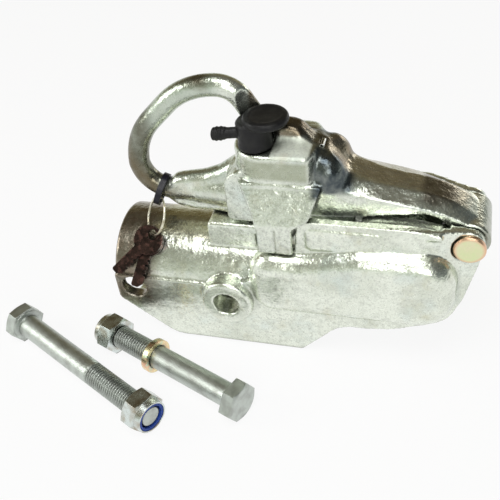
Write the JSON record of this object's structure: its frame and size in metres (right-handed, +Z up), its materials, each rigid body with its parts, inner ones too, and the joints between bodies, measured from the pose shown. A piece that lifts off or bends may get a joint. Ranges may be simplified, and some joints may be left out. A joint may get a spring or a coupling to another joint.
{
  "type": "trailer coupling head",
  "caption": "Cast ball coupling head with a lifting ring handle, hinged ball jaw, key lock under a rubber cap, keys and loose cross bolts.",
  "frame": {"origin": "centre of the ball socket", "axes": "+X towards the nose, +Y to the left seen from behind, +Z up"},
  "size_m": [0.3248, 0.1728, 0.1863],
  "materials": {
    "zinc_body": "zinc plated, bright with a fine cast grain",
    "zinc_handle": "zinc plated, bright with a fine cast grain",
    "passivated_pin": "zinc plated and yellow passivated",
    "spring_steel": "dark oiled spring steel",
    "cast_jaw": "cast iron with a machined ball face",
    "steel_pin": "turned steel",
    "zinc_sleeve": "zinc plated",
    "brass_barrel": "turned brass",
    "black_rubber": "moulded black rubber",
    "bright_steel": "bright steel",
    "black_nylon": "black nylon",
    "key_wire": "plated steel wire",
    "key_steel": "pressed steel with a warm dark lacquer, bright at the edges",
    "galvanised_bolt": "dull grey galvanised steel",
    "zinc_nut": "bright zinc plated",
    "blue_nylon": "blue nylon",
    "passivated_washer": "yellow passivated spring steel"
  },
  "bodies": {
    "body": {"coupling_body": "zinc_body", "handle_pivot_pin": "passivated_pin", "pivot_pin_clip": "spring_steel", "handle_spring": "spring_steel"},
    "handle": {"handle_casting": "zinc_handle", "jaw_pivot_pin": "steel_pin", "jaw_pin_clips": "spring_steel", "jaw_spring": "spring_steel", "lock_sleeve": "zinc_sleeve", "housing_roll_pin": "bright_steel", "key_tie": "black_nylon"},
    "jaw": {"ball_jaw": "cast_jaw"},
    "lock": {"lock_barrel": "brass_barrel", "lock_spindle": "steel_pin", "spindle_clip": "spring_steel"},
    "cap": {"lock_cap": "black_rubber"},
    "ring_of_keys": {"key_ring": "key_wire"},
    "key_one": {"key_1": "key_steel"},
    "key_two": {"key_2": "key_steel"},
    "loose_bolt_1": {"long_bolt_1": "galvanised_bolt"},
    "loose_nut_1": {"lock_nut_1": "zinc_nut", "nut_insert_1": "blue_nylon"},
    "loose_bolt_2": {"long_bolt_2": "galvanised_bolt"},
    "loose_nut_2": {"lock_nut_2": "zinc_nut", "nut_insert_2": "blue_nylon"},
    "loose_washer": {"spring_washer": "passivated_washer"}
  },
  "joints": [
    {"name": "handle_lift", "type": "hinge", "parent": "body", "child": "handle", "pos_m": [0.038, 0, 0.048], "axis": [0, 1, 0], "range_deg": [0, 28], "deforming": ["handle_spring"]},
    {"name": "jaw_swing", "type": "hinge", "parent": "handle", "child": "jaw", "pos_m": [-0.044, 0, 0.044], "axis": [0, 1, 0], "range_deg": [0, 14], "stiffness_Nm_per_rad": 1.2, "springref_deg": -20.05, "deforming": ["jaw_spring"]},
    {"name": "lock_turn", "type": "hinge", "parent": "handle", "child": "lock", "pos_m": [-0.09, -0.012, 0.095], "axis": [0, 0, 1], "range_deg": [0, 90]},
    {"name": "cap_pull", "type": "slide", "parent": "handle", "child": "cap", "axis": [0, 0, 1], "range_m": [0, 0.03]},
    {"name": "key_ring_swing", "type": "hinge", "parent": "handle", "child": "ring_of_keys", "pos_m": [-0.1618, -0.00719, 0.05537], "axis": [0.9397, 0, -0.342], "range_deg": [-20, 0]},
    {"name": "key_1_turn", "type": "hinge", "parent": "ring_of_keys", "child": "key_one", "pos_m": [-0.16665, -0.02045, 0.03321], "axis": [0, -0.766, 0.6428], "range_deg": [-8, 8]},
    {"name": "key_2_turn", "type": "hinge", "parent": "ring_of_keys", "child": "key_two", "pos_m": [-0.16412, -0.02263, 0.03458], "axis": [0, -0.766, 0.6428], "range_deg": [-8, 8]},
    {"name": "bolt_1_lift", "type": "slide", "parent": "body", "child": "loose_bolt_1", "axis": [0, 0, 1], "range_m": [0, 0.1]},
    {"name": "nut_1_spin", "type": "hinge", "parent": "loose_bolt_1", "child": "loose_nut_1", "pos_m": [-0.2606, -0.05763, -0.032], "axis": [0.8878, -0.4602, 0], "continuous": true},
    {"name": "bolt_2_lift", "type": "slide", "parent": "body", "child": "loose_bolt_2", "axis": [0, 0, 1], "range_m": [0, 0.1]},
    {"name": "nut_2_spin", "type": "hinge", "parent": "loose_bolt_2", "child": "loose_nut_2", "pos_m": [-0.09786, -0.09443, -0.032], "axis": [-0.9239, 0.3827, 0], "continuous": true},
    {"name": "washer_slide", "type": "slide", "parent": "loose_bolt_2", "child": "loose_washer", "axis": [-0.9239, 0.3827, 0], "range_m": [-0.06, 0.028]}
  ]
}
